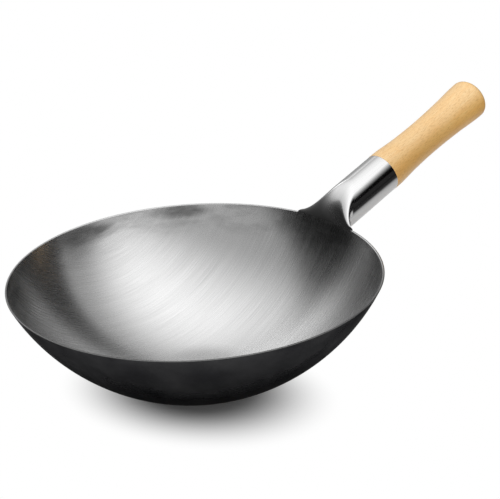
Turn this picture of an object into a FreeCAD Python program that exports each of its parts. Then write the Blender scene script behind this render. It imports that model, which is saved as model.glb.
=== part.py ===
import FreeCAD, Part
import os
from math import acos, asin, atan2, cos, degrees, pi, radians, sin, sqrt
from FreeCAD import Vector

os.makedirs("parts", exist_ok=True)

# Driving lengths in millimetres. The origin is the middle of the flat base, on the stove, with +Z up.
# The handle points along +X.

# Bowl: one pressed sheet, a flat base that runs through a blend into a round wall.
sheet = 1.8
rim_radius = 160.0
wall_centre_lift = 73.5
flat_radius = 36.0
base_blend_radius = 6.0
rim_ease = 0.35

# Handle socket: the sheet rises from the rim, bends over and is rolled into a tapered tube.
neck_half_width = 35.0
socket_rise = 0.45
socket_slope = radians(18.9)
tube_root_radius = 19.3
tube_end_radius = 19.25
socket_length = 77.5
neck_length = 12.0
neck_wrap = radians(100.0)
seam_gap = 2.0
joining_tolerance = 0.0005
edge_turn = radians(36.0)
leave_middle_share = 0.9
leave_edge_share = 1.15
arrive_middle_share = 0.65
arrive_edge_share = 0.5

# Weld bead along the outside of the joint between bowl and socket.
bead_radius = 1.1
bead_stand = 0.2
bead_half_length = 27.0

# Turned wooden handle: tenon in the socket, shoulder on its end, fall, waist, rise and domed butt.
tenon_clearance = 0.2
tenon_length = 37.0
tenon_lead = 3.0
shoulder_lip = 0.15
shoulder_run = 6.0
fall_radius = 17.85
fall_at = 30.0
waist_radius = 17.1
waist_at = 62.0
rise_radius = 18.3
rise_at = 100.0
butt_radius = 20.15
butt_at = 132.4
butt_depth = 10.0

# Round-head screw through the socket into the tenon, on the lower far side.
screw_angle = radians(130.0)
screw_from_end = 22.0
screw_radius = 2.0
screw_length = 24.0
screw_point = 5.0
screw_head_radius = 4.0
screw_head_height = 2.6
screw_slot_width = 1.0
screw_slot_depth = 1.2
screw_clearance = 0.1

# Places worked out from the driving lengths. The round wall's centre is above the rim.
wall_radius = sqrt(rim_radius ** 2 + wall_centre_lift ** 2)
wall_inner = wall_radius - sheet
blend_reach = wall_radius - base_blend_radius
wall_centre_height = base_blend_radius + sqrt(blend_reach ** 2 - flat_radius ** 2)
rim_height = wall_centre_height - wall_centre_lift
wall_centre = Vector(0, 0, wall_centre_height)
across = Vector(0, 1, 0)

# The joint plane runs through the centre of the round wall and meets the rim at the neck's two ends.
neck_angle = asin(neck_half_width / wall_radius)
joint_drop_share = (rim_height - wall_centre_height) / (wall_radius * cos(neck_angle))
joint_out = Vector(sqrt(1 - joint_drop_share ** 2), 0, joint_drop_share)
joint_up = Vector(-joint_drop_share, 0, joint_out.x)

# The tube's own frame: along its axis, and up from it.
tube_start = Vector(rim_radius, 0, rim_height + socket_rise)
tube_along = Vector(cos(socket_slope), 0, sin(socket_slope))
tube_up = Vector(-sin(socket_slope), 0, cos(socket_slope))
seam_angle = pi - asin(seam_gap / (2 * tube_end_radius))


def tube_radius(station):
    """Outside radius of the socket at a distance along its axis."""
    return tube_root_radius + (tube_end_radius - tube_root_radius) * station / socket_length


def tube_point(station, angle, depth):
    """Point on the socket, at an angle from its top and a depth below its outside."""
    reach = tube_radius(station) - depth
    return (tube_start + tube_along * station + tube_up * (reach * cos(angle))
            + across * (reach * sin(angle)))


def arc_between(first, middle, last):
    return Part.Arc(first, middle, last).toShape()


def make_bowl():
    """Revolved sheet: flat base, blend, round wall, eased rim; cut along the joint plane at the neck."""
    blend_centre = Vector(flat_radius, 0, base_blend_radius)
    blend_share = flat_radius / blend_reach
    blend_end = asin(blend_share)
    rim_angle = asin(rim_radius / wall_radius)
    inner_rim_angle = acos((wall_centre_height - rim_height) / wall_inner)

    def on_wall(reach, angle):
        return Vector(reach * sin(angle), 0, wall_centre_height - reach * cos(angle))

    def on_blend(reach, angle):
        return blend_centre + Vector(reach * sin(angle), 0, -reach * cos(angle))

    ease_angle = rim_ease / wall_radius
    outer_top = on_wall(wall_radius, rim_angle - ease_angle)
    inner_top = on_wall(wall_inner, inner_rim_angle - ease_angle)
    outer_rim = Vector(rim_radius - rim_ease, 0, rim_height)
    inner_rim = Vector(on_wall(wall_inner, inner_rim_angle).x + rim_ease, 0, rim_height)
    inner_blend = base_blend_radius - sheet
    outline = [
        Part.makeLine(Vector(0, 0, 0), Vector(flat_radius, 0, 0)),
        arc_between(Vector(flat_radius, 0, 0), on_blend(base_blend_radius, blend_end / 2),
                    on_blend(base_blend_radius, blend_end)),
        arc_between(on_wall(wall_radius, blend_end), on_wall(wall_radius, (blend_end + rim_angle) / 2),
                    outer_top),
        Part.makeLine(outer_top, outer_rim),
        Part.makeLine(outer_rim, inner_rim),
        Part.makeLine(inner_rim, inner_top),
        arc_between(inner_top, on_wall(wall_inner, (blend_end + inner_rim_angle) / 2),
                    on_wall(wall_inner, blend_end)),
        arc_between(on_blend(inner_blend, blend_end), on_blend(inner_blend, blend_end / 2),
                    Vector(flat_radius, 0, sheet)),
        Part.makeLine(Vector(flat_radius, 0, sheet), Vector(0, 0, sheet)),
        Part.makeLine(Vector(0, 0, sheet), Vector(0, 0, 0)),
    ]
    face = Part.Face(Part.Wire(Part.__sortEdges__(outline)))
    bowl = face.revolve(Vector(0, 0, 0), Vector(0, 0, 1), 360)
    cutter = Part.makeBox(2 * rim_radius, 2 * rim_radius, rim_radius)
    cutter.translate(Vector(0, -rim_radius, 0))
    tilt = degrees(atan2(joint_out.z, joint_out.x))
    cutter.rotate(Vector(0, 0, 0), across, -tilt)
    cutter.translate(wall_centre)
    return bowl.cut(cutter)


def neck_face(spread, travel):
    """Upper face of the neck: spread -1 to 1 goes across, travel 0 to 1 from the rim to the tube."""
    swing = neck_angle * spread
    start = wall_centre + (joint_out * cos(swing) + across * sin(swing)) * wall_inner
    end = tube_point(neck_length, neck_wrap * (spread + spread ** 3) / 2, 0)
    reach = (end - start).Length
    turn = edge_turn * spread * abs(spread)
    inward = joint_out * sin(swing) - across * cos(swing)
    leave_share = leave_middle_share + (leave_edge_share - leave_middle_share) * spread ** 2
    arrive_share = arrive_middle_share + (arrive_edge_share - arrive_middle_share) * spread ** 2
    leave = (joint_up * cos(turn) + inward * sin(turn)) * (reach * leave_share)
    arrive = tube_along * (reach * arrive_share)
    end_share = 3 * travel ** 2 - 2 * travel ** 3
    return (start * (1 - end_share) + leave * (travel ** 3 - 2 * travel ** 2 + travel)
            + end * end_share + arrive * (travel ** 3 - travel ** 2))


def neck_point(spread, travel, depth):
    """Point of the neck sheet at a depth under its upper face."""
    step_share = 0.0001
    over = neck_face(spread + step_share, travel) - neck_face(spread - step_share, travel)
    out = neck_face(spread, travel + step_share) - neck_face(spread, travel - step_share)
    under = over.cross(out)
    under.normalize()
    return neck_face(spread, travel) + under * depth


def make_neck():
    """Sheet between rim and tube: two smooth faces a sheet apart, closed by four narrow edges."""
    across_count = 32
    along_count = 14
    spreads = [2 * index / across_count - 1 for index in range(across_count + 1)]
    travels = [index / along_count for index in range(along_count + 1)]
    skins = []
    for depth in (0, sheet):
        rows = [[neck_point(spread, travel, depth) for travel in travels] for spread in spreads]
        surface = Part.BSplineSurface()
        surface.interpolate(rows)
        skins.append(surface.toShape())
    faces = list(skins)
    for upper, lower in zip(skins[0].Edges, skins[1].Edges):
        faces.append(Part.makeRuledSurface(upper, lower, 1))
    shell = Part.makeShell(faces)
    shell.sewShape()
    neck = Part.makeSolid(Part.Shell(shell.Faces))
    if neck.Volume < 0:
        neck.reverse()
    return neck


def make_tube():
    """Rolled tapered tube with its open seam underneath."""
    corners = [tube_point(neck_length, 0, 0), tube_point(socket_length, 0, 0),
               tube_point(socket_length, 0, sheet), tube_point(neck_length, 0, sheet)]
    face = Part.Face(Part.makePolygon(corners + corners[:1]))
    face.rotate(tube_start, tube_along, -degrees(seam_angle))
    return face.revolve(tube_start, tube_along, 2 * degrees(seam_angle))


def make_socket():
    """Neck and tube are one rolled sheet, drilled for the screw."""
    socket = make_neck().fuse([make_tube()], joining_tolerance).removeSplitter()
    return socket.cut(screw_bore())


def make_weld_bead(bowl, socket):
    """Half-round bead on the outside of the joint, lying on the bowl and on the socket."""
    reach = wall_radius + bead_stand
    swing = bead_half_length / reach
    points = []
    for side in (-1, 0, 1):
        points.append(wall_centre + (joint_out * cos(side * swing) + across * sin(side * swing)) * reach)
    path = Part.Wire(arc_between(*points))
    direction = joint_out * sin(swing) + across * cos(swing)
    ring = Part.Wire(Part.makeCircle(bead_radius, points[0], direction))
    bead = path.makePipeShell([ring], True, False)
    for point in (points[0], points[2]):
        bead = bead.fuse(Part.makeSphere(bead_radius, point))
    return bead.cut([bowl, socket], joining_tolerance).Solids[0]


def make_handle():
    """Turned beech grip with its tenon, bored for the screw. A quarter ellipse closes its butt."""
    quarter_ellipse_weight = sqrt(1 / 2)

    def at(distance, reach):
        return tube_start + tube_along * (socket_length + distance) + tube_up * reach

    tenon_tip = tube_radius(socket_length - tenon_length) - sheet - tenon_clearance
    tenon_root = tube_end_radius - sheet - tenon_clearance
    shoulder = tube_end_radius + shoulder_lip
    edges = [
        Part.makeLine(at(-tenon_length, 0), at(-tenon_length, tenon_tip - tenon_lead)),
        Part.makeLine(at(-tenon_length, tenon_tip - tenon_lead), at(tenon_lead - tenon_length, tenon_tip)),
        Part.makeLine(at(tenon_lead - tenon_length, tenon_tip), at(0, tenon_root)),
        Part.makeLine(at(0, tenon_root), at(0, tube_end_radius)),
        Part.makeLine(at(0, tube_end_radius), at(shoulder_lip, shoulder)),
    ]
    grip = Part.BSplineCurve()
    grip.interpolate([at(shoulder_lip, shoulder), at(shoulder_run, shoulder), at(fall_at, fall_radius),
                      at(waist_at, waist_radius), at(rise_at, rise_radius), at(butt_at, butt_radius)],
                     InitialTangent=tube_along, FinalTangent=tube_along)
    edges.append(grip.toShape())
    butt_end = butt_at + butt_depth
    dome = Part.BezierCurve()
    dome.setPoles([at(butt_at, butt_radius), at(butt_end, butt_radius), at(butt_end, 0)])
    dome.setWeight(2, quarter_ellipse_weight)
    edges.append(dome.toShape())
    edges.append(Part.makeLine(at(butt_end, 0), at(-tenon_length, 0)))
    face = Part.Face(Part.Wire(Part.__sortEdges__(edges)))
    handle = face.revolve(tube_start, tube_along, 360)
    return handle.cut(screw_bore())


def screw_frame():
    """Seat of the screw head on the socket, and the direction into the handle."""
    station = socket_length - screw_from_end
    seat = tube_point(station, screw_angle, tube_radius(station) - tube_radius(station - screw_head_radius))
    inward = (tube_up * cos(screw_angle) + across * sin(screw_angle)) * -1
    return seat, inward


def screw_bore():
    seat, inward = screw_frame()
    reach = screw_length + screw_clearance
    return Part.makeCylinder(screw_radius + screw_clearance, reach + screw_head_height,
                             seat - inward * screw_head_height, inward)


def make_screw():
    """Round-head slotted wood screw: domed head on the socket, plain shank, pointed end."""
    seat, inward = screw_frame()
    shank = Part.makeCylinder(screw_radius, screw_length - screw_point, seat, inward)
    point = Part.makeCone(screw_radius, 0, screw_point, seat + inward * (screw_length - screw_point), inward)
    dome_radius = (screw_head_radius ** 2 + screw_head_height ** 2) / (2 * screw_head_height)
    dome = Part.makeSphere(dome_radius, seat + inward * (dome_radius - screw_head_height))
    head = dome.common(Part.makeCylinder(screw_head_radius, screw_head_height, seat, inward * -1))
    slot = Part.makeBox(2 * screw_head_radius, screw_slot_width, screw_slot_depth,
                        seat - inward * screw_head_height, inward)
    slot.translate(seat - inward * (screw_head_height - screw_slot_depth / 2) - slot.CenterOfMass)
    return head.fuse([shank, point]).removeSplitter().cut(slot)


bowl = make_bowl()
socket = make_socket()
pieces = {
    "bowl": bowl,
    "handle_socket": socket,
    "socket_weld_bead": make_weld_bead(bowl, socket),
    "wooden_handle": make_handle(),
    "handle_screw": make_screw(),
}
for name, shape in pieces.items():
    shape.exportStep("parts/" + name + ".step")
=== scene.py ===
from math import acos, asin, atan, atan2, cos, pi, radians, sin, sqrt, tan

import bpy
from mathutils import Matrix, Vector


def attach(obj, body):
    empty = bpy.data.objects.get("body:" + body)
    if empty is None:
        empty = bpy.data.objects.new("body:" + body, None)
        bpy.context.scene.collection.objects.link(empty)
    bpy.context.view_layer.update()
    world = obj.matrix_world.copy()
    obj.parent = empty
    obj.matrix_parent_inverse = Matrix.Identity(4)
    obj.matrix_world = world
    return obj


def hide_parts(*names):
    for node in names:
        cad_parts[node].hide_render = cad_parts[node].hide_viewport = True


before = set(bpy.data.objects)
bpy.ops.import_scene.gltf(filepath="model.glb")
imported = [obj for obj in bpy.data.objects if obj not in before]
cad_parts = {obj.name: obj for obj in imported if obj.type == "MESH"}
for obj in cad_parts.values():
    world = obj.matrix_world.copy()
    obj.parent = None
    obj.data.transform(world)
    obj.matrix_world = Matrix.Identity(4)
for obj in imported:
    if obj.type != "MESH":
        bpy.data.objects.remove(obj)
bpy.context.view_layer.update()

# Bowl: one round of carbon steel sheet, pressed to a flat base and a round wall and trimmed at the rim.
# Inside, the base runs into the wall in a wide shallow dish. The inside is ground bright in strokes that
# run the handle's way, and the outside keeps a dark skin.
mm = 0.001
sheet = 1.8 * mm
rim_radius = 160 * mm
wall_centre_lift = 73.5 * mm
flat_radius = 36 * mm
blend_radius = 6 * mm
dish_radius = 50 * mm
rim_ease = 0.35 * mm
rim_ease_lean = radians(30)
neck_half_width = 35 * mm
bowl_columns = 360
flat_steps, blend_steps, wall_steps = 5, 8, 36

wall_radius = sqrt(rim_radius ** 2 + wall_centre_lift ** 2)
wall_inner = wall_radius - sheet
blend_reach = wall_radius - blend_radius
blend_end = asin(flat_radius / blend_reach)
wall_centre = Vector((0, 0, blend_radius + blend_reach * cos(blend_end)))
rim_height = wall_centre.z - wall_centre_lift
neck_angle = asin(neck_half_width / wall_radius)
joint_drop_share = -wall_centre_lift / (wall_radius * cos(neck_angle))
joint_out = Vector((sqrt(1 - joint_drop_share ** 2), 0, joint_drop_share))
joint_up = Vector((-joint_drop_share, 0, joint_out.x))
across = Vector((0, 1, 0))


def bowl_section(azimuth):
    """Points and normals of the bowl at an azimuth, from under its middle round the rim to inside it."""
    swing = atan(joint_out.x * tan(azimuth))
    at_neck = cos(azimuth) > 0 and abs(swing) < neck_angle
    joint_angle = acos(-joint_drop_share * cos(swing))
    ease_angle = rim_ease / wall_radius
    skins = []
    # The outer skin, then the inner one. Each entry is a point's reach and height, and its normal's.
    for depth, side in ((0, 1), (sheet, -1)):
        reach = wall_radius - depth
        top = joint_angle if at_neck else acos(wall_centre_lift / reach) - ease_angle
        wall_from, flat_edge = blend_end, flat_radius
        if depth:
            wall_from = asin(dish_radius / reach)
            dish_rise = wall_centre.z - reach * cos(wall_from) - depth
            dish_width = 2 * dish_rise / tan(wall_from)
            flat_edge = dish_radius - dish_width
        skin = []
        for step in range(1, flat_steps + 1):
            skin.append((flat_edge * step / flat_steps, depth, 0, -side))
        for step in range(1, blend_steps + 1):
            share = step / blend_steps
            if depth:
                angle = atan(tan(wall_from) * share)
                out, height = flat_edge + dish_width * share, depth + dish_rise * share ** 2
            else:
                angle = blend_end * share
                out, height = flat_radius + blend_radius * sin(angle), blend_radius * (1 - cos(angle))
            skin.append((out, height, side * sin(angle), -side * cos(angle)))
        for step in range(1, wall_steps + 1):
            angle = wall_from + (top - wall_from) * step / wall_steps
            skin.append((reach * sin(angle), wall_centre.z - reach * cos(angle), side * sin(angle),
                         -side * cos(angle)))
        skins.append(skin)
    outer, inner = skins
    edge_share = rim_ease / sheet
    if at_neck:
        rim = []
        for share in (edge_share, 1 - edge_share):
            rim.append((outer[-1][0] + (inner[-1][0] - outer[-1][0]) * share,
                        outer[-1][1] + (inner[-1][1] - outer[-1][1]) * share, joint_up.x, joint_up.z))
    else:
        lean_out, lean_up = sin(rim_ease_lean), cos(rim_ease_lean)
        rim = [(rim_radius - rim_ease, rim_height, lean_out, lean_up),
               (inner[-1][0] + rim_ease, rim_height, -lean_out, lean_up)]
    turn = Matrix.Rotation(azimuth, 3, "Z")
    section = []
    for out, height, normal_out, normal_up in outer + rim + inner[::-1]:
        section.append((turn @ Vector((out, 0, height)), turn @ Vector((normal_out, 0, normal_up))))
    return section


def make_piece(name, points, normals, faces, flat_faces=()):
    """Mesh object with given point normals on its smooth faces and plain normals on its flat ones."""
    mesh = bpy.data.meshes.new(name)
    mesh.from_pydata(points, [], list(faces) + list(flat_faces))
    corner_normals = []
    for polygon in mesh.polygons:
        polygon.use_smooth = polygon.index < len(faces)
        for corner in polygon.vertices:
            corner_normals.append(normals[corner] if polygon.use_smooth else Vector((0, 0, 0)))
    mesh.normals_split_custom_set(corner_normals)
    piece = bpy.data.objects.new(name, mesh)
    bpy.context.scene.collection.objects.link(piece)
    return piece


def add_strokes(piece, places):
    """UV layer that gives each point's place, in metres, along and across the strokes of its finish."""
    layer = piece.data.uv_layers.new(name="stroke")
    for loop in piece.data.loops:
        layer.data[loop.index].uv = places[loop.vertex_index]


sections = [bowl_section(2 * pi * column / bowl_columns) for column in range(bowl_columns)]
section_count = len(sections[0])
bowl_points = [point for section in sections for point, normal in section]
bowl_normals = [normal for section in sections for point, normal in section]
under_middle, inside_middle = len(bowl_points), len(bowl_points) + 1
bowl_points += [Vector((0, 0, 0)), Vector((0, 0, sheet))]
bowl_normals += [Vector((0, 0, -1)), Vector((0, 0, 1))]
bowl_faces = []
for column in range(bowl_columns):
    first = column * section_count
    second = (column + 1) % bowl_columns * section_count
    bowl_faces.append((under_middle, second, first))
    for step in range(section_count - 1):
        bowl_faces.append((first + step, second + step, second + step + 1, first + step + 1))
    bowl_faces.append((inside_middle, first + section_count - 1, second + section_count - 1))
bowl = make_piece("bowl_shell", bowl_points, bowl_normals, bowl_faces)
bowl_strokes = []
for point in bowl_points:
    from_centre = point - wall_centre
    sideways = max(-1, min(1, from_centre.y / wall_inner))
    bowl_strokes.append((wall_inner * atan2(from_centre.x, -from_centre.z), wall_inner * asin(sideways)))
add_strokes(bowl, bowl_strokes)


def paint(code):
    """Linear colour of an sRGB hex value."""
    channels = [int(code[start:start + 2], 16) / 255 for start in (1, 3, 5)]
    linear = [c / 12.92 if c <= 0.04045 else ((c + 0.055) / 1.055) ** 2.4 for c in channels]
    return (*linear, 1)


def add_node(tree, kind, settings=None, links=None):
    """Adds a shader node; a setting or link is named by the node's property, input name or input number.

    A Mix takes its share at input 0, its two numbers at 2 and 3 or its two colours at 6 and 7, and gives a
    colour at output 2.
    """
    made = tree.nodes.new("ShaderNode" + kind)
    for key, value in (settings or {}).items():
        if isinstance(key, str) and hasattr(made, key):
            setattr(made, key, value)
        else:
            made.inputs[key].default_value = value
    for key, source in (links or {}).items():
        tree.links.new(source, made.inputs[key])
    return made


def start_material(name, metallic, roughness):
    """New material with its principled shader."""
    material = bpy.data.materials.new(name)
    material.use_nodes = True
    shader = material.node_tree.nodes["Principled BSDF"]
    shader.inputs["Metallic"].default_value = metallic
    shader.inputs["Roughness"].default_value = roughness
    return material, material.node_tree, shader


# Ground carbon steel: bare iron grey, scratched by the belt along one direction, with smudged heat and oil
# marks that lie along the rim. The eye sees a reflection drawn out across the strokes, with fine streaks in
# it. The strokes are drawn coarser than the belt's grit, so that they show.
stroke_length = 60 * mm
stroke_spacing = 0.8 * mm
band_length = 120 * mm
band_spacing = 7 * mm
smudge_length = 48 * mm
smudge_height = 13 * mm
smudge_reach = 30 * mm
smudge_from, smudge_to, smudge_strength = 0.46, 0.64, 0.55
scratch_depth = 0.003 * mm
finest_polish, coarsest_polish = 0.24, 0.31
# Stains on the wall: degrees round from the handle, mm below the rim, half width in degrees, half height in
# mm, and strength. Each is whole inside, gone past its edge, ragged along the strokes and patchy.
mark_places = ((148, 2, 26, 30, 1.0), (90, 8, 13, 9, 0.9), (55, 5, 13, 7, 1.0), (-1, 4, 20, 27, 0.9))
mark_whole, mark_gone = 0.3, 1.2
mark_ragged, mark_faintest = 0.14, 0.45
ground_steel, tree, shader = start_material("ground_carbon_steel", metallic=1, roughness=0.3)
uv = add_node(tree, "UVMap", {"uv_map": "stroke"})
place = add_node(tree, "TexCoord")
fine_place = add_node(tree, "Mapping", {"Scale": (1 / stroke_length, 1 / stroke_spacing, 1)},
                      {"Vector": uv.outputs[0]})
fine = add_node(tree, "TexNoise", {"noise_dimensions": "2D", "Scale": 1, "Detail": 4, "Roughness": 0.62},
                {"Vector": fine_place.outputs[0]})
band_place = add_node(tree, "Mapping", {"Scale": (1 / band_length, 1 / band_spacing, 1)},
                      {"Vector": uv.outputs[0]})
band = add_node(tree, "TexNoise", {"noise_dimensions": "2D", "Scale": 1, "Detail": 3, "Roughness": 0.5},
                {"Vector": band_place.outputs[0]})
smudge_place = add_node(tree, "Mapping",
                        {"Scale": (1 / smudge_length, 1 / smudge_length, 1 / smudge_height)},
                        {"Vector": place.outputs["Object"]})
smudge = add_node(tree, "TexNoise", {"Scale": 1, "Detail": 4, "Roughness": 0.6},
                  {"Vector": smudge_place.outputs[0]})
spot = add_node(tree, "SeparateXYZ", {}, {0: place.outputs["Object"]})
near_rim = add_node(tree, "MapRange", {"From Min": rim_height - smudge_reach, "From Max": rim_height,
                                       "To Max": smudge_strength}, {"Value": spot.outputs["Z"]})
smudge_patch = add_node(tree, "MapRange", {"From Min": smudge_from, "From Max": smudge_to},
                        {"Value": smudge.outputs[0]})
smudge_amount = add_node(tree, "Math", {"operation": "MULTIPLY"},
                         {0: near_rim.outputs[0], 1: smudge_patch.outputs[0]})
turn_place = add_node(tree, "Math", {"operation": "ARCTAN2"}, {0: spot.outputs["Y"], 1: spot.outputs["X"]})
wall_place = add_node(tree, "CombineXYZ", {}, {"X": turn_place.outputs[0], "Y": spot.outputs["Z"]})
ragged = add_node(tree, "MapRange", {"From Min": 0.25, "From Max": 0.75, "To Min": -mark_ragged,
                                     "To Max": mark_ragged}, {"Value": band.outputs[0]})
patchy = add_node(tree, "MapRange", {"From Min": 0.3, "From Max": 0.6, "To Min": mark_faintest},
                  {"Value": smudge.outputs[0]})
for turn, below, half_turn, half_height, strength in mark_places:
    mark_place = add_node(tree, "Mapping", {"vector_type": "TEXTURE",
                                            "Location": (radians(turn), rim_height - below * mm, 0),
                                            "Scale": (radians(half_turn), half_height * mm, 1)},
                          {"Vector": wall_place.outputs[0]})
    from_mark = add_node(tree, "VectorMath", {"operation": "LENGTH"}, {0: mark_place.outputs[0]})
    mark_edge = add_node(tree, "Math", {}, {0: from_mark.outputs["Value"], 1: ragged.outputs[0]})
    mark = add_node(tree, "MapRange", {"interpolation_type": "SMOOTHSTEP", "From Min": mark_whole,
                                       "From Max": mark_gone, "To Min": strength, "To Max": 0},
                    {"Value": mark_edge.outputs[0]})
    mark_amount = add_node(tree, "Math", {"operation": "MULTIPLY"},
                           {0: mark.outputs[0], 1: patchy.outputs[0]})
    smudge_amount = add_node(tree, "Math", {"operation": "MAXIMUM"},
                             {0: smudge_amount.outputs[0], 1: mark_amount.outputs[0]})
band_tone = add_node(tree, "Mix", {"data_type": "RGBA", 6: paint("#C1C1C1"), 7: paint("#CDCDCD")},
                     {0: band.outputs[0]})
fine_tone = add_node(tree, "Mix", {"data_type": "RGBA", "blend_type": "MULTIPLY", 7: paint("#E8E8E8")},
                     {0: fine.outputs[0], 6: band_tone.outputs[2]})
stained = add_node(tree, "Mix", {"data_type": "RGBA", 7: paint("#606060")},
                   {0: smudge_amount.outputs[0], 6: fine_tone.outputs[2]})
polish = add_node(tree, "MapRange", {"From Min": 0.3, "From Max": 0.7, "To Min": finest_polish,
                                     "To Max": coarsest_polish}, {"Value": fine.outputs[0]})
relief = add_node(tree, "Bump", {"Strength": 1, "Distance": scratch_depth}, {"Height": fine.outputs[0]})
stroke_way = add_node(tree, "Tangent", {"direction_type": "UV_MAP", "uv_map": "stroke"})
tree.links.new(stained.outputs[2], shader.inputs["Base Color"])
tree.links.new(polish.outputs[0], shader.inputs["Roughness"])
tree.links.new(relief.outputs[0], shader.inputs["Normal"])
tree.links.new(stroke_way.outputs[0], shader.inputs["Tangent"])
shader.inputs["Anisotropic"].default_value = 0.6
shader.inputs["Anisotropic Rotation"].default_value = 0.25

# Dark mill skin: the thin black oxide that rolling and pressing leave on the sheet, oiled. It is a dull
# charcoal with cloudy patches. Towards the base its colour is darkened by painted shade, which stands in for
# the shade under the wok.
cloud_size = 45 * mm
grit_size, grit_depth = 1.5 * mm, 0.01 * mm
base_shade_from, base_shade_to = 5 * mm, 70 * mm
mill_skin, tree, shader = start_material("dark_mill_skin", metallic=1, roughness=0.42)
place = add_node(tree, "TexCoord")
cloud = add_node(tree, "TexNoise", {"Scale": 1 / cloud_size, "Detail": 5, "Roughness": 0.55},
                 {"Vector": place.outputs["Object"]})
grit = add_node(tree, "TexNoise", {"Scale": 1 / grit_size, "Detail": 2}, {"Vector": place.outputs["Object"]})
cloud_patch = add_node(tree, "MapRange", {"From Min": 0.35, "From Max": 0.68}, {"Value": cloud.outputs[0]})
skin_tone = add_node(tree, "Mix", {"data_type": "RGBA", 6: paint("#434345"), 7: paint("#5A5A5B")},
                     {0: cloud_patch.outputs[0]})
height = add_node(tree, "SeparateXYZ", {}, {0: place.outputs["Object"]})
# Painted shade: the skin's colour darkens with height towards the base, standing in for the shade under the
# wok.
base_shade = add_node(tree, "MapRange", {"From Min": base_shade_from, "From Max": base_shade_to, "To Min": 1, "To Max": 0},
                {"Value": height.outputs["Z"]})
base_shaded = add_node(tree, "Mix", {"data_type": "RGBA", "blend_type": "MULTIPLY", 7: paint("#505050")},
                  {0: base_shade.outputs[0], 6: skin_tone.outputs[2]})
skin_polish = add_node(tree, "MapRange", {"To Min": 0.38, "To Max": 0.52}, {"Value": cloud.outputs[0]})
relief = add_node(tree, "Bump", {"Strength": 1, "Distance": grit_depth}, {"Height": grit.outputs[0]})
tree.links.new(base_shaded.outputs[2], shader.inputs["Base Color"])
tree.links.new(skin_polish.outputs[0], shader.inputs["Roughness"])
tree.links.new(relief.outputs[0], shader.inputs["Normal"])
shader.inputs["Specular Tint"].default_value = paint("#8A8A8A")

# Trimmed edge: the sheet's cut rim, filed and dull. Towards the handle's side a painted highlight makes it
# pale, so that it shows there as a thin pale line.
file_mark = 2 * mm
highlight_azimuth = radians(35)
highlight_towards = (cos(highlight_azimuth), sin(highlight_azimuth), 0)
highlight_from, highlight_to = -60 * mm, 80 * mm
trimmed_edge, tree, shader = start_material("trimmed_steel_edge", metallic=1, roughness=0.35)
place = add_node(tree, "TexCoord")
marks = add_node(tree, "TexNoise", {"Scale": 1 / file_mark, "Detail": 3},
                 {"Vector": place.outputs["Object"]})
# Painted highlight: the edge's colour turns pale towards one side, standing in for the light it catches
# there.
highlight_side = add_node(tree, "VectorMath", {"operation": "DOT_PRODUCT", 1: highlight_towards},
                     {0: place.outputs["Object"]})
painted_highlight = add_node(tree, "MapRange", {"From Min": highlight_from, "From Max": highlight_to},
                {"Value": highlight_side.outputs["Value"]})
dull_tone = add_node(tree, "Mix", {"data_type": "RGBA", 6: paint("#585858"), 7: paint("#7C7C7C")},
                     {0: marks.outputs[0]})
edge_tone = add_node(tree, "Mix", {"data_type": "RGBA", 7: paint("#C6C6C6")},
                     {0: painted_highlight.outputs[0], 6: dull_tone.outputs[2]})
tree.links.new(edge_tone.outputs[2], shader.inputs["Base Color"])

for material in (mill_skin, ground_steel, trimmed_edge):
    bowl.data.materials.append(material)
skin_steps = flat_steps + blend_steps + wall_steps
rim_faces = 3
faces_per_column = section_count + 1
for polygon in bowl.data.polygons:
    step = polygon.index % faces_per_column
    if step >= skin_steps + rim_faces:
        polygon.material_index = 1
    elif step >= skin_steps:
        polygon.material_index = 2
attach(bowl, "root")
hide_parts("bowl")

# Handle socket: a second pressing of the same sheet. It rises from the rim, bends over and is rolled into a
# tapered tube whose open seam is underneath, and its outside is buffed to a mirror.
socket_rise = 0.45 * mm
socket_slope = radians(18.9)
tube_root_radius = 19.3 * mm
tube_end_radius = 19.25 * mm
socket_length = 77.5 * mm
neck_edge_length, neck_middle_length = 10 * mm, 39 * mm
neck_wrap = radians(100)
seam_gap = 2 * mm
edge_turn = radians(36)
leave_middle_share, leave_edge_share = 0.6, 1.15
arrive_middle_share, arrive_edge_share = 1.1, 0.5
neck_columns, neck_rows, side_columns, tube_rows = 96, 48, 24, 24

tube_start = Vector((rim_radius, 0, rim_height + socket_rise))
tube_along = Vector((cos(socket_slope), 0, sin(socket_slope)))
tube_up = Vector((-sin(socket_slope), 0, cos(socket_slope)))
seam_angle = pi - asin(seam_gap / (2 * tube_end_radius))


def tube_radius(station):
    """Outside radius of the tube at a station along it."""
    return tube_root_radius + (tube_end_radius - tube_root_radius) * station / socket_length


def tube_point(station, angle):
    """Point on the outside of the tube at a station along it and an angle from its top."""
    return (tube_start + tube_along * station
            + (tube_up * cos(angle) + across * sin(angle)) * tube_radius(station))


def neck_end(spread):
    """Station at which the neck has become the plain tube: early at its sides, late along its top."""
    return neck_edge_length + (neck_middle_length - neck_edge_length) * max(0, 1 - spread ** 2)


def neck_point(spread, travel):
    """Point on the neck's upper face: spread -1 to 1 goes across it, travel 0 to 1 from rim to tube."""
    swing = neck_angle * spread
    start = wall_centre + (joint_out * cos(swing) + across * sin(swing)) * wall_inner
    end = tube_point(neck_end(spread), neck_wrap * (spread + spread ** 3) / 2)
    reach = (end - start).length
    turn = edge_turn * spread * abs(spread)
    inward = joint_out * sin(swing) - across * cos(swing)
    leave_share = leave_middle_share + (leave_edge_share - leave_middle_share) * spread ** 2
    arrive_share = arrive_middle_share + (arrive_edge_share - arrive_middle_share) * spread ** 2
    leave = (joint_up * cos(turn) + inward * sin(turn)) * (reach * leave_share)
    arrive = tube_along * (reach * arrive_share)
    end_share = 3 * travel ** 2 - 2 * travel ** 3
    return (start * (1 - end_share) + leave * (travel ** 3 - 2 * travel ** 2 + travel)
            + end * end_share + arrive * (travel ** 3 - travel ** 2))


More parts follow.
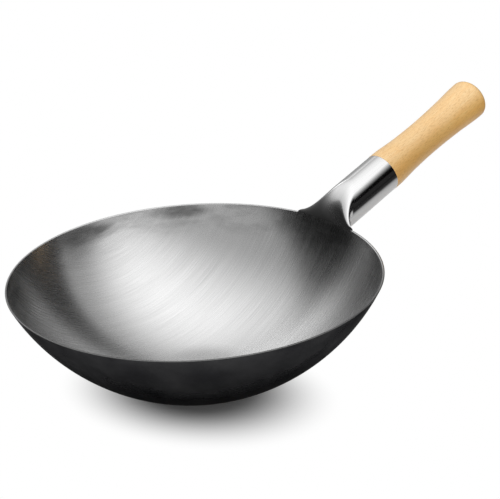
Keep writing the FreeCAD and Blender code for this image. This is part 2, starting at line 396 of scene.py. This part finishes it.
def neck_normal(spread, travel):
    """Normal of the neck's upper face, from points a small step to each side."""
    step = 0.0005
    over = neck_point(spread + step, travel) - neck_point(spread - step, travel)
    out = neck_point(spread, travel + step) - neck_point(spread, travel - step)
    return out.cross(over).normalized()


def thicken(points, normals, faces, depth):
    """Closes a skin to a sheet: its inner copy, and narrow faces along its open edges."""
    count = len(points)
    all_points = points + [point - normal * depth for point, normal in zip(points, normals)]
    all_normals = normals + [-normal for normal in normals]
    inner = [tuple(corner + count for corner in reversed(face)) for face in faces]
    sides = set()
    for face in faces:
        sides.update(zip(face, face[1:] + face[:1]))
    edges = [(b, a, a + count, b + count) for a, b in sorted(sides) if (b, a) not in sides]
    return all_points, all_normals, faces + inner, edges


spreads = [2 * column / neck_columns - 1 for column in range(neck_columns + 1)]
side_step = (seam_angle - neck_wrap) / side_columns
side_angles = [neck_wrap + side_step * (column + 1) for column in range(side_columns)]
middle_angles = [neck_wrap * (spread + spread ** 3) / 2 for spread in spreads]
tube_angles = [-angle for angle in reversed(side_angles)] + middle_angles + side_angles
socket_points, socket_normals, socket_faces, socket_strokes = [], [], [], []
grid = {}
for row in range(neck_rows):
    for column, spread in enumerate(spreads):
        grid[row, column + side_columns] = len(socket_points)
        socket_points.append(neck_point(spread, row / neck_rows))
        socket_normals.append(neck_normal(spread, row / neck_rows))
        socket_strokes.append((neck_end(spread) * row / neck_rows, tube_root_radius * middle_angles[column]))
for row in range(tube_rows + 1):
    for column, angle in enumerate(tube_angles):
        spread = spreads[min(max(column - side_columns, 0), neck_columns)]
        station = neck_end(spread) + (socket_length - neck_end(spread)) * row / tube_rows
        grid[row + neck_rows, column] = len(socket_points)
        socket_points.append(tube_point(station, angle))
        socket_normals.append(tube_up * cos(angle) + across * sin(angle))
        socket_strokes.append((station, tube_root_radius * angle))
for row, column in grid:
    corners = [(row, column), (row, column + 1), (row + 1, column + 1), (row + 1, column)]
    if all(corner in grid for corner in corners):
        socket_faces.append(tuple(grid[corner] for corner in reversed(corners)))
socket = make_piece("rolled_socket", *thicken(socket_points, socket_normals, socket_faces, sheet))
add_strokes(socket, socket_strokes + socket_strokes)

# Buffed carbon steel: the same iron grey, polished along the tube until it mirrors the room, with faint
# buffing lines, drawn coarser than the real ones so that they show. At its root it runs into the duller,
# rougher finish of the bowl, and its colour there is darkened by painted shade, which stands in for the dark
# that the neck mirrors.
buff_length = 40 * mm
buff_spacing, buff_depth = 0.6 * mm, 0.002 * mm
root_roughness = 0.38
ground_until, buffed_from = 0 * mm, 24 * mm
buffing_slant = 1.0
buffed_steel, tree, shader = start_material("buffed_carbon_steel", metallic=1, roughness=0.12)
uv = add_node(tree, "UVMap", {"uv_map": "stroke"})
buff_place = add_node(tree, "Mapping", {"Scale": (1 / buff_length, 1 / buff_spacing, 1)},
                      {"Vector": uv.outputs[0]})
buff = add_node(tree, "TexNoise", {"noise_dimensions": "2D", "Scale": 1, "Detail": 3},
                {"Vector": buff_place.outputs[0]})
along = add_node(tree, "SeparateXYZ", {}, {0: uv.outputs[0]})
slanted = add_node(tree, "Math", {"operation": "MULTIPLY_ADD", 1: -buffing_slant},
                   {0: along.outputs["Y"], 2: along.outputs["X"]})
root_finish_and_shade = add_node(tree, "MapRange", {"interpolation_type": "SMOOTHSTEP", "From Min": ground_until,
                                         "From Max": buffed_from, "To Min": 1, "To Max": 0},
                      {"Value": slanted.outputs[0]})
buff_tone = add_node(tree, "Mix", {"data_type": "RGBA", 6: paint("#BEBEBE"), 7: paint("#CACACA")},
                     {0: buff.outputs[0]})
buff_polish = add_node(tree, "MapRange", {"To Min": 0.1, "To Max": 0.14}, {"Value": buff.outputs[0]})
# Painted shade: near the root the steel's colour is darkened, standing in for the dark reflection on the
# neck; the rougher polish there is real.
root_shade_tone = add_node(tree, "Mix", {"data_type": "RGBA", 7: paint("#646464")},
                     {0: root_finish_and_shade.outputs[0], 6: buff_tone.outputs[2]})
polish = add_node(tree, "Mix", {3: root_roughness}, {0: root_finish_and_shade.outputs[0], 2: buff_polish.outputs[0]})
relief = add_node(tree, "Bump", {"Strength": 1, "Distance": buff_depth}, {"Height": buff.outputs[0]})
tree.links.new(root_shade_tone.outputs[2], shader.inputs["Base Color"])
tree.links.new(polish.outputs[0], shader.inputs["Roughness"])
tree.links.new(relief.outputs[0], shader.inputs["Normal"])
socket.data.materials.append(buffed_steel)
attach(socket, "root")
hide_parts("handle_socket")

# Weld bead: filler metal run along the outside of the joint between the bowl and the socket sheet. It is
# left as welded and only wire brushed, so it is darker and rippled. The ripples are drawn coarser than the
# real ones, so that they show.
ripple_spacing, ripple_depth = 6.91 * mm, 0.15 * mm
wave_length = pi / 10    # length of one wave of the texture at scale 1
weld_metal, tree, shader = start_material("brushed_weld_metal", metallic=1, roughness=0.4)
place = add_node(tree, "TexCoord")
ripple = add_node(tree, "TexWave", {"bands_direction": "Y", "Scale": wave_length / ripple_spacing,
                                    "Distortion": 1.5}, {"Vector": place.outputs["Object"]})
weld_tone = add_node(tree, "Mix", {"data_type": "RGBA", 6: paint("#4A4847"), 7: paint("#807E7C")},
                     {0: ripple.outputs[1]})
relief = add_node(tree, "Bump", {"Strength": 1, "Distance": ripple_depth}, {"Height": ripple.outputs[1]})
tree.links.new(weld_tone.outputs[2], shader.inputs["Base Color"])
tree.links.new(relief.outputs[0], shader.inputs["Normal"])
weld_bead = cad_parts["socket_weld_bead"]
weld_bead.data.materials.clear()
weld_bead.data.materials.append(weld_metal)

# Handle: a grip turned from one length of beech, sanded and lacquered. Its tenon is a close fit in the
# socket, and its shoulder stands a little proud of the socket's end.
tenon_clearance = 0.2 * mm
tenon_length = 37 * mm
tenon_lead = 3 * mm
shoulder_lip = 0.15 * mm
shoulder_run = 6 * mm
fall_radius, fall_at = 17.85 * mm, 30 * mm
waist_radius, waist_at = 17.1 * mm, 62 * mm
rise_radius, rise_at = 18.3 * mm, 100 * mm
butt_radius, butt_at, butt_depth = 20.15 * mm, 132.4 * mm, 10 * mm
grip_steps, butt_steps, handle_columns = 14, 20, 128
sharp_angle = radians(40)

tenon_root = tube_end_radius - sheet - tenon_clearance
tenon_tip = tube_radius(socket_length - tenon_length) - sheet - tenon_clearance
# The turned outline, as distance from the socket's end and radius: the tenon, then the grip, then the butt.
turned = [(-tenon_length, 0), (-tenon_length, tenon_tip - tenon_lead),
          (tenon_lead - tenon_length, tenon_tip), (0, tenon_root), (0, tube_end_radius)]
shoulder = tube_end_radius + shoulder_lip
knots = [(shoulder_lip, shoulder), (shoulder_run, shoulder), (fall_at, fall_radius),
         (waist_at, waist_radius), (rise_at, rise_radius), (butt_at, butt_radius)]
slopes = [0]
for before, here, after in zip(knots, knots[1:], knots[2:]):
    span_before, span_after = here[0] - before[0], after[0] - here[0]
    rise_before, rise_after = (here[1] - before[1]) / span_before, (after[1] - here[1]) / span_after
    slopes.append((rise_before * span_after + rise_after * span_before) / (span_before + span_after))
slopes.append(0)
grip_stations = [(*knot, slope) for knot, slope in zip(knots, slopes)]
for first, second in zip(grip_stations, grip_stations[1:]):
    span = second[0] - first[0]
    for step in range(grip_steps):
        share = step / grip_steps
        second_share = 3 * share ** 2 - 2 * share ** 3
        radius = (first[1] * (1 - second_share) + second[1] * second_share
                  + span * first[2] * (share ** 3 - 2 * share ** 2 + share)
                  + span * second[2] * (share ** 3 - share ** 2))
        turned.append((first[0] + span * share, radius))
for step in range(butt_steps + 1):
    angle = pi / 2 * step / butt_steps
    turned.append((butt_at + butt_depth * sin(angle), butt_radius * cos(angle)))
handle_end = tube_start + tube_along * socket_length
handle_points = []
for distance, radius in turned:
    for column in range(handle_columns):
        angle = 2 * pi * column / handle_columns
        handle_points.append(handle_end + tube_along * distance
                             + (tube_up * cos(angle) + across * sin(angle)) * radius)
handle_faces = []
for row in range(len(turned) - 1):
    for column in range(handle_columns):
        beside = (column + 1) % handle_columns
        handle_faces.append((row * handle_columns + column, row * handle_columns + beside,
                             (row + 1) * handle_columns + beside, (row + 1) * handle_columns + column))
handle_mesh = bpy.data.meshes.new("turned_handle")
handle_mesh.from_pydata(handle_points, [], handle_faces)
handle_mesh.validate()
handle_mesh.shade_smooth()
handle_mesh.set_sharp_from_angle(angle=sharp_angle)
handle = bpy.data.objects.new("turned_handle", handle_mesh)
bpy.context.scene.collection.objects.link(handle)

# Lacquered beech: pale straw wood with straight grain along the grip, short darker ray flecks, and a satin
# clear coat that takes a soft shine on top. The lower half is painted with shade: a warmer, darker tone that
# stands in for the warm shade on the grip's underside. The change runs between two heights, measured from
# the grip's axis.
grain_length = 60 * mm
grain_spacing, grain_depth = 2.2 * mm, 0.03 * mm
fleck_length = 4 * mm
fleck_width = 0.5 * mm
fleck_from, fleck_to, fleck_strength = 0.52, 0.68, 0.5
tint_size = 22 * mm
underside_shade_from, underside_shade_to = 16 * mm, -2 * mm
beech, tree, shader = start_material("lacquered_beech", metallic=0, roughness=0.45)
place = add_node(tree, "TexCoord")
along_grip = add_node(tree, "Mapping", {"vector_type": "TEXTURE", "Location": handle_end,
                                        "Rotation": (0, -socket_slope, 0)},
                      {"Vector": place.outputs["Object"]})
grain_place = add_node(tree, "Mapping", {"Scale": (1 / grain_length, 1 / grain_spacing, 1 / grain_spacing)},
                       {"Vector": along_grip.outputs[0]})
grain = add_node(tree, "TexNoise", {"Scale": 1, "Detail": 4, "Roughness": 0.6, "Distortion": 0.3},
                 {"Vector": grain_place.outputs[0]})
fleck_place = add_node(tree, "Mapping", {"Scale": (1 / fleck_length, 1 / fleck_width, 1 / fleck_width)},
                       {"Vector": along_grip.outputs[0]})
fleck = add_node(tree, "TexNoise", {"Scale": 1, "Detail": 1}, {"Vector": fleck_place.outputs[0]})
tint = add_node(tree, "TexNoise", {"Scale": 1 / tint_size, "Detail": 3}, {"Vector": along_grip.outputs[0]})
grain_tone = add_node(tree, "Mix", {"data_type": "RGBA", 6: paint("#FAC880"), 7: paint("#FFE6B6")},
                      {0: grain.outputs[0]})
tint_tone = add_node(tree, "Mix", {"data_type": "RGBA", "blend_type": "MULTIPLY", 7: paint("#FFEFD0")},
                     {0: tint.outputs[0], 6: grain_tone.outputs[2]})
in_grip = add_node(tree, "SeparateXYZ", {}, {0: along_grip.outputs[0]})
# Painted shade: the grip's lower half is tinted warmer and darker, as its shaded underside looks.
underside_shade_share = add_node(tree, "MapRange", {"From Min": underside_shade_from, "From Max": underside_shade_to},
                      {"Value": in_grip.outputs["Z"]})
underside_shaded_tone = add_node(tree, "Mix", {"data_type": "RGBA", "blend_type": "MULTIPLY", 7: paint("#FFEEC0")},
                     {0: underside_shade_share.outputs[0], 6: tint_tone.outputs[2]})
fleck_share = add_node(tree, "MapRange", {"From Min": fleck_from, "From Max": fleck_to,
                                          "To Max": fleck_strength}, {"Value": fleck.outputs[0]})
flecked = add_node(tree, "Mix", {"data_type": "RGBA", 7: paint("#D39647")},
                   {0: fleck_share.outputs[0], 6: underside_shaded_tone.outputs[2]})
relief = add_node(tree, "Bump", {"Strength": 0.4, "Distance": grain_depth}, {"Height": grain.outputs[0]})
tree.links.new(flecked.outputs[2], shader.inputs["Base Color"])
tree.links.new(relief.outputs[0], shader.inputs["Normal"])
shader.inputs["Specular IOR Level"].default_value = 0.5
shader.inputs["Coat Weight"].default_value = 0.6
shader.inputs["Coat Roughness"].default_value = 0.35
handle.data.materials.append(beech)
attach(handle, "root")
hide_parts("wooden_handle")

# Handle screw: a round-head slotted wood screw through the socket's lower side into the tenon.
# It is turned steel, zinc plated, with a bluish bright finish.
speck_size = 0.8 * mm
zinc_plate, tree, shader = start_material("zinc_plated_steel", metallic=1, roughness=0.25)
place = add_node(tree, "TexCoord")
speck = add_node(tree, "TexNoise", {"Scale": 1 / speck_size, "Detail": 3},
                 {"Vector": place.outputs["Object"]})
zinc_tone = add_node(tree, "Mix", {"data_type": "RGBA", 6: paint("#A9ABAE"), 7: paint("#C9CBCE")},
                     {0: speck.outputs[0]})
zinc_polish = add_node(tree, "MapRange", {"To Min": 0.2, "To Max": 0.34}, {"Value": speck.outputs[0]})
tree.links.new(zinc_tone.outputs[2], shader.inputs["Base Color"])
tree.links.new(zinc_polish.outputs[0], shader.inputs["Roughness"])
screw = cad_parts["handle_screw"]
screw.data.materials.clear()
screw.data.materials.append(zinc_plate)

# Camera: the photograph's viewing angle, found from the rim, the lower outline and the handle. It looks at
# the middle of the rim, then turns a little. Places given as the camera sees them have x to its right, y
# away from it and z up.
view_elevation, view_distance = radians(24.22), 1104 * mm
view_yaw, view_pitch, view_roll = radians(2.465), radians(-0.839), radians(3.558)
handle_azimuth = radians(38.5)
focal_pixels, image_width, sensor_width = 1300, 500, 36
to_view = Matrix.Rotation(handle_azimuth, 3, "Z")
from_view = to_view.transposed()
stand = Vector((0, -view_distance * cos(view_elevation), view_distance * sin(view_elevation)))
forward = -stand.normalized()
view_up = Vector((1, 0, 0)).cross(forward)
level = Matrix((Vector((1, 0, 0)), view_up, -forward))
aim = (Matrix.Rotation(view_roll, 3, "Z") @ Matrix.Rotation(view_pitch, 3, "X")
       @ Matrix.Rotation(view_yaw, 3, "Y") @ level @ to_view)
camera_data = bpy.data.cameras.new("photo_camera")
camera_data.sensor_width = sensor_width
camera_data.lens = focal_pixels * sensor_width / image_width
camera = bpy.data.objects.new("photo_camera", camera_data)
camera_place = from_view @ stand + Vector((0, 0, rim_height))
camera.matrix_world = Matrix.Translation(camera_place) @ aim.transposed().to_4x4()
bpy.context.scene.collection.objects.link(camera)
bpy.context.scene.camera = camera

# Floor: a plain white studio floor, in metres. The camera sees the contact shadow in an oval under the
# wok, which fades to plain white. The paint is pale on a wide round sheet and dark beyond. Steel mirrors a
# little of the white too, further out on the sheet, where the wok's own shade no longer reaches.
floor_radius = 40
floor_columns = 96
shade_middle = from_view @ Vector((-0.005, -0.028, 0))
shade_turn = radians(-29)
shade_scale = (1.4, 1, 1)
seen_from, seen_to = 0.0298, 0.0929
mirror_from, mirror_to = 0.1, 0.4
mirror_share = 0.25
sheet_middle = from_view @ Vector((-0.25, 0.35, 0))
sheet_from, sheet_to = 0.6, 0.95
floor_points = [(0, 0, 0)]
for column in range(floor_columns):
    angle = 2 * pi * column / floor_columns
    floor_points.append((floor_radius * cos(angle), floor_radius * sin(angle), 0))
floor_faces = [(0, column + 1, (column + 1) % floor_columns + 1) for column in range(floor_columns)]
floor_mesh = bpy.data.meshes.new("studio_floor")
floor_mesh.from_pydata(floor_points, [], floor_faces)
floor = bpy.data.objects.new("studio_floor", floor_mesh)
bpy.context.scene.collection.objects.link(floor)
floor_paint, tree, shader = start_material("white_floor_paint", metallic=0, roughness=0.9)
shader.inputs["Specular IOR Level"].default_value = 0
rays = add_node(tree, "LightPath")
mirrored = add_node(tree, "Math", {"operation": "MAXIMUM"},
                    {0: rays.outputs["Is Glossy Ray"], 1: rays.outputs["Is Transmission Ray"]})
place = add_node(tree, "TexCoord")
away = add_node(tree, "VectorMath", {"operation": "DISTANCE", 1: shade_middle},
                {0: place.outputs["Object"]})
shade_place = add_node(tree, "Mapping", {"vector_type": "TEXTURE", "Location": shade_middle,
                                         "Rotation": (0, 0, shade_turn - handle_azimuth),
                                         "Scale": shade_scale}, {"Vector": place.outputs["Object"]})
from_shade = add_node(tree, "VectorMath", {"operation": "LENGTH"}, {0: shade_place.outputs[0]})
seen_fade = add_node(tree, "MapRange", {"interpolation_type": "SMOOTHSTEP", "From Min": seen_from,
                                        "From Max": seen_to}, {"Value": from_shade.outputs["Value"]})
mirror_fade = add_node(tree, "MapRange", {"interpolation_type": "SMOOTHSTEP", "From Min": mirror_from,
                                          "From Max": mirror_to, "To Max": mirror_share},
                       {"Value": away.outputs["Value"]})
off_sheet = add_node(tree, "VectorMath", {"operation": "DISTANCE", 1: sheet_middle},
                     {0: place.outputs["Object"]})
sheet_fade = add_node(tree, "MapRange", {"interpolation_type": "SMOOTHSTEP", "From Min": sheet_from,
                                         "From Max": sheet_to, "To Min": 1, "To Max": 0},
                      {"Value": off_sheet.outputs["Value"]})
floor_tone = add_node(tree, "Mix", {"data_type": "RGBA", 6: paint("#3C3C3C"), 7: paint("#E6E6E6")},
                      {0: sheet_fade.outputs[0]})
tree.links.new(floor_tone.outputs[2], shader.inputs["Base Color"])
mirror_ring = add_node(tree, "Math", {"operation": "MULTIPLY"},
                       {0: mirror_fade.outputs[0], 1: sheet_fade.outputs[0]})
seen_white = add_node(tree, "Math", {"operation": "MULTIPLY"},
                      {0: seen_fade.outputs[0], 1: rays.outputs["Is Camera Ray"]})
mirror_white = add_node(tree, "Math", {"operation": "MULTIPLY"},
                        {0: mirror_ring.outputs[0], 1: mirrored.outputs[0]})
white_share = add_node(tree, "Math", {"operation": "MAXIMUM"},
                       {0: seen_white.outputs[0], 1: mirror_white.outputs[0]})
white = add_node(tree, "Emission", {"Color": paint("#FFFFFF"), "Strength": 1})
mixed = add_node(tree, "MixShader", {},
                 {0: white_share.outputs[0], 1: shader.outputs[0], 2: white.outputs[0]})
tree.links.new(mixed.outputs[0], tree.nodes["Material Output"].inputs["Surface"])
floor.data.materials.append(floor_paint)


# Light: a long soft box overhead, across the handle, that is brightest in its middle; a wider, dimmer
# ceiling panel; a white card far behind on the left; and a fill card behind the camera. Sizes are in
# metres.
def add_panel(name, place, aim_at, width, depth, radiance, spin=0):
    """Rectangular lamp, placed and aimed as the camera sees it; radiance 1 shows as white."""
    watts_per_area = 4
    lamp = bpy.data.lights.new(name, "AREA")
    lamp.shape = "RECTANGLE"
    lamp.size, lamp.size_y = width, depth
    lamp.energy = watts_per_area * radiance * width * depth
    panel = bpy.data.objects.new(name, lamp)
    place, aim_at = Vector(place), Vector(aim_at)
    turn = (aim_at - place).to_track_quat("-Z", "Y").to_matrix() @ Matrix.Rotation(spin, 3, "Z")
    panel.matrix_world = Matrix.Translation(from_view @ place) @ (from_view @ turn).to_4x4()
    panel.visible_camera = False
    bpy.context.scene.collection.objects.link(panel)
    return lamp


def fade_panel(lamp, middle, edge_share):
    """Dims a lamp from a place on it, 0 to 1 across and up, to a share of its radiance half a side away."""
    half_side = 0.5
    lamp.use_nodes = True
    tree = lamp.node_tree
    surface = add_node(tree, "NewGeometry")
    offset = add_node(tree, "VectorMath", {"operation": "SUBTRACT", 1: middle},
                      {0: surface.outputs["Parametric"]})
    distance = add_node(tree, "VectorMath", {"operation": "LENGTH"}, {0: offset.outputs[0]})
    falloff = add_node(tree, "MapRange", {"interpolation_type": "SMOOTHSTEP", "From Max": half_side,
                                          "To Min": 1, "To Max": edge_share},
                       {"Value": distance.outputs["Value"]})
    tree.links.new(falloff.outputs[0], tree.nodes["Emission"].inputs["Strength"])


soft_box = add_panel("soft_box", place=(0.33, 0, 1.1), aim_at=(0.33, 0, 0), width=5.2, depth=2.05,
                     radiance=0.97, spin=radians(-42))
fade_panel(soft_box, middle=(0.5, 0.5, 0), edge_share=0)
add_panel("ceiling_panel", place=(0.489, -0.644, 1.12), aim_at=(0.489, -0.644, 0), width=3.74, depth=3.64,
          radiance=0.47, spin=radians(-20))
white_card = add_panel("white_card", place=(-1.25, 2.4, 0.95), aim_at=(-1.25, 0, 0.95), width=3.2, depth=1.9,
                       radiance=1.55)
fade_panel(white_card, middle=(0.5, 0.8, 0), edge_share=0.25)
add_panel("fill_card", place=(0.4, -2.7, 0.62), aim_at=(0.4, 0, 0.62), width=4.4, depth=1.2, radiance=1.05)

# Flag: a small card of black felt beside the near side of the socket, thinning out towards its top. The
# buffed steel mirrors it as the dark band along the tube, and the camera does not see it. It is in metres,
# placed as the camera sees it.
flag_near, flag_far, flag_right = 0.0, 0.12, 0.28
flag_bottom, feather_from, flag_top = 0.165, 0.205, 0.33
flag_points = []
for flag_y, flag_z in ((flag_near, flag_bottom), (flag_far, flag_bottom),
                       (flag_far, flag_top), (flag_near, flag_top)):
    flag_points.append(from_view @ Vector((flag_right, flag_y, flag_z)))
flag_mesh = bpy.data.meshes.new("black_flag")
flag_mesh.from_pydata(flag_points, [], [(0, 1, 2, 3)])
flag = bpy.data.objects.new("black_flag", flag_mesh)
flag.visible_camera = False
bpy.context.scene.collection.objects.link(flag)
black_felt, tree, shader = start_material("black_felt", metallic=0, roughness=1)
shader.inputs["Base Color"].default_value = paint("#101010")
shader.inputs["Specular IOR Level"].default_value = 0
place = add_node(tree, "TexCoord")
height = add_node(tree, "SeparateXYZ", {}, {0: place.outputs["Object"]})
feather = add_node(tree, "MapRange", {"From Min": feather_from, "From Max": flag_top, "To Min": 1,
                                      "To Max": 0}, {"Value": height.outputs["Z"]})
tree.links.new(feather.outputs[0], shader.inputs["Alpha"])
flag.data.materials.append(black_felt)

# Room: dark, with a faint glow, so that steel mirrors it dark between the lamps. Only the camera sees it
# white, past the floor's far edge.
room_glow = 0.03
world = bpy.data.worlds.new("dark_room")
world.use_nodes = True
tree = world.node_tree
rays = add_node(tree, "LightPath")
room_light = add_node(tree, "MapRange", {"To Min": room_glow, "To Max": 1},
                      {"Value": rays.outputs["Is Camera Ray"]})
tree.nodes["Background"].inputs["Color"].default_value = paint("#FFFFFF")
tree.links.new(room_light.outputs[0], tree.nodes["Background"].inputs["Strength"])
bpy.context.scene.world = world
bpy.context.scene.view_settings.view_transform = "Standard"
